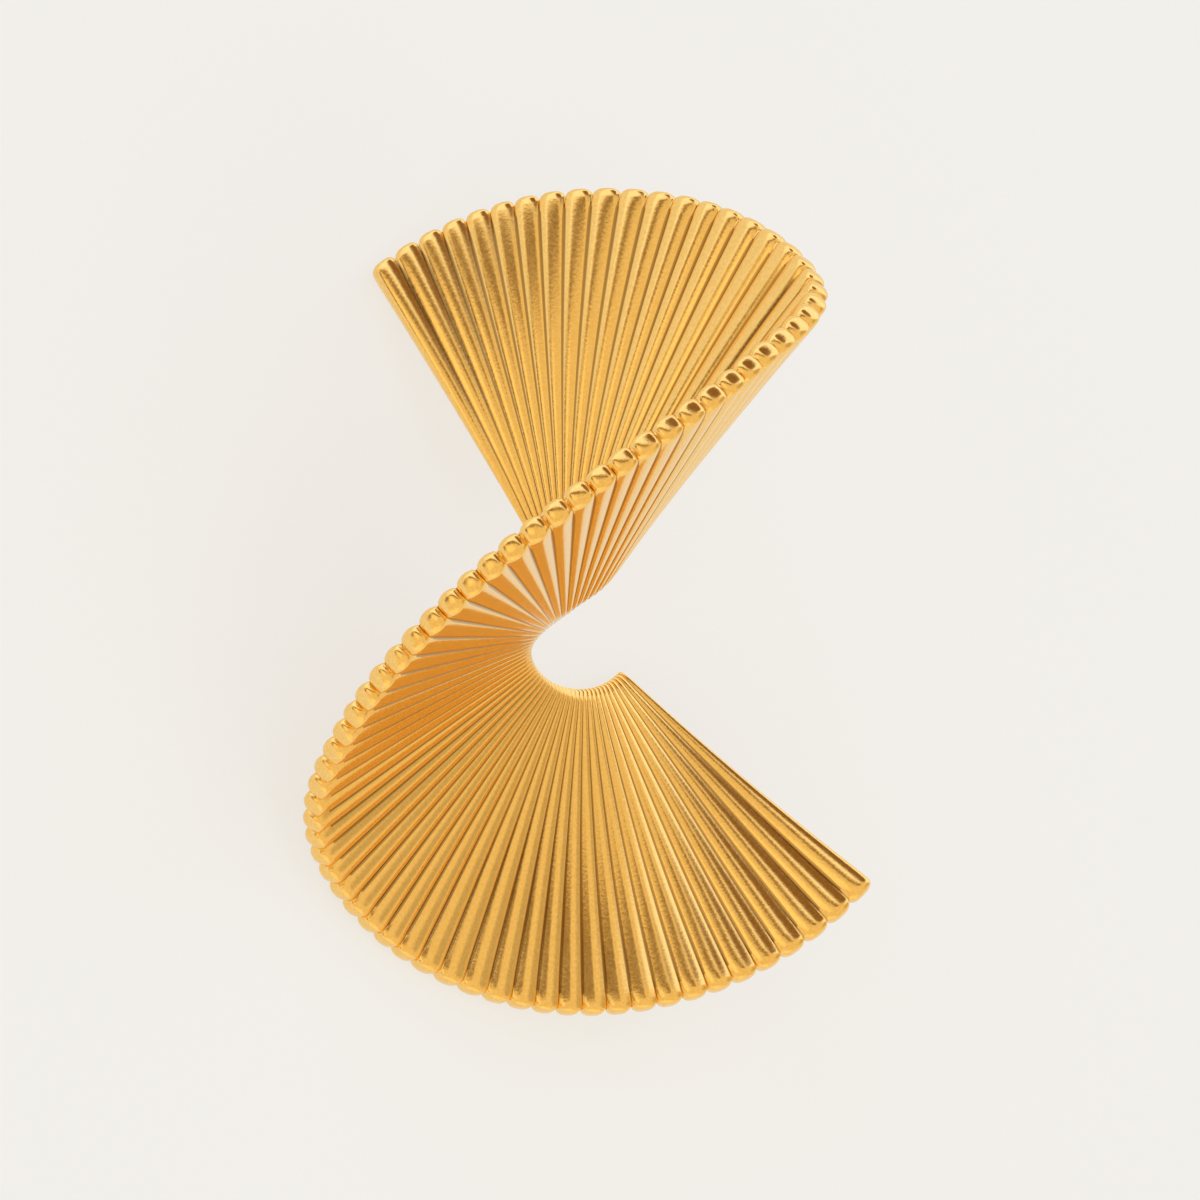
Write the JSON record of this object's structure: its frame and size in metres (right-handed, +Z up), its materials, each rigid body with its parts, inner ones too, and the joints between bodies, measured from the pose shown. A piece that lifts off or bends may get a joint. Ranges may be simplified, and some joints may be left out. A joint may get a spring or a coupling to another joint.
{
  "type": "fan earring",
  "caption": "Gold ear stud made of a pleated strip of tapering round ribs, bent into an open S of two fans, with a straight ear pin.",
  "frame": {"origin": "centre of the bounding box at its base, on the surface that the earring lies on", "axes": "+Z up from that surface; +X along the longest side, from the upper fan to the lower fan as worn; -Y is the side that the picture was taken from"},
  "size_m": [0.0446, 0.033, 0.0253],
  "materials": {
    "satin_gold": "gold-plated brass, satin on the ribs and brighter on the rounded heads",
    "polished_gold": "gold-plated, polished"
  },
  "bodies": {
    "root": {"fan": "satin_gold", "ear_post": "polished_gold"}
  },
  "joints": []
}
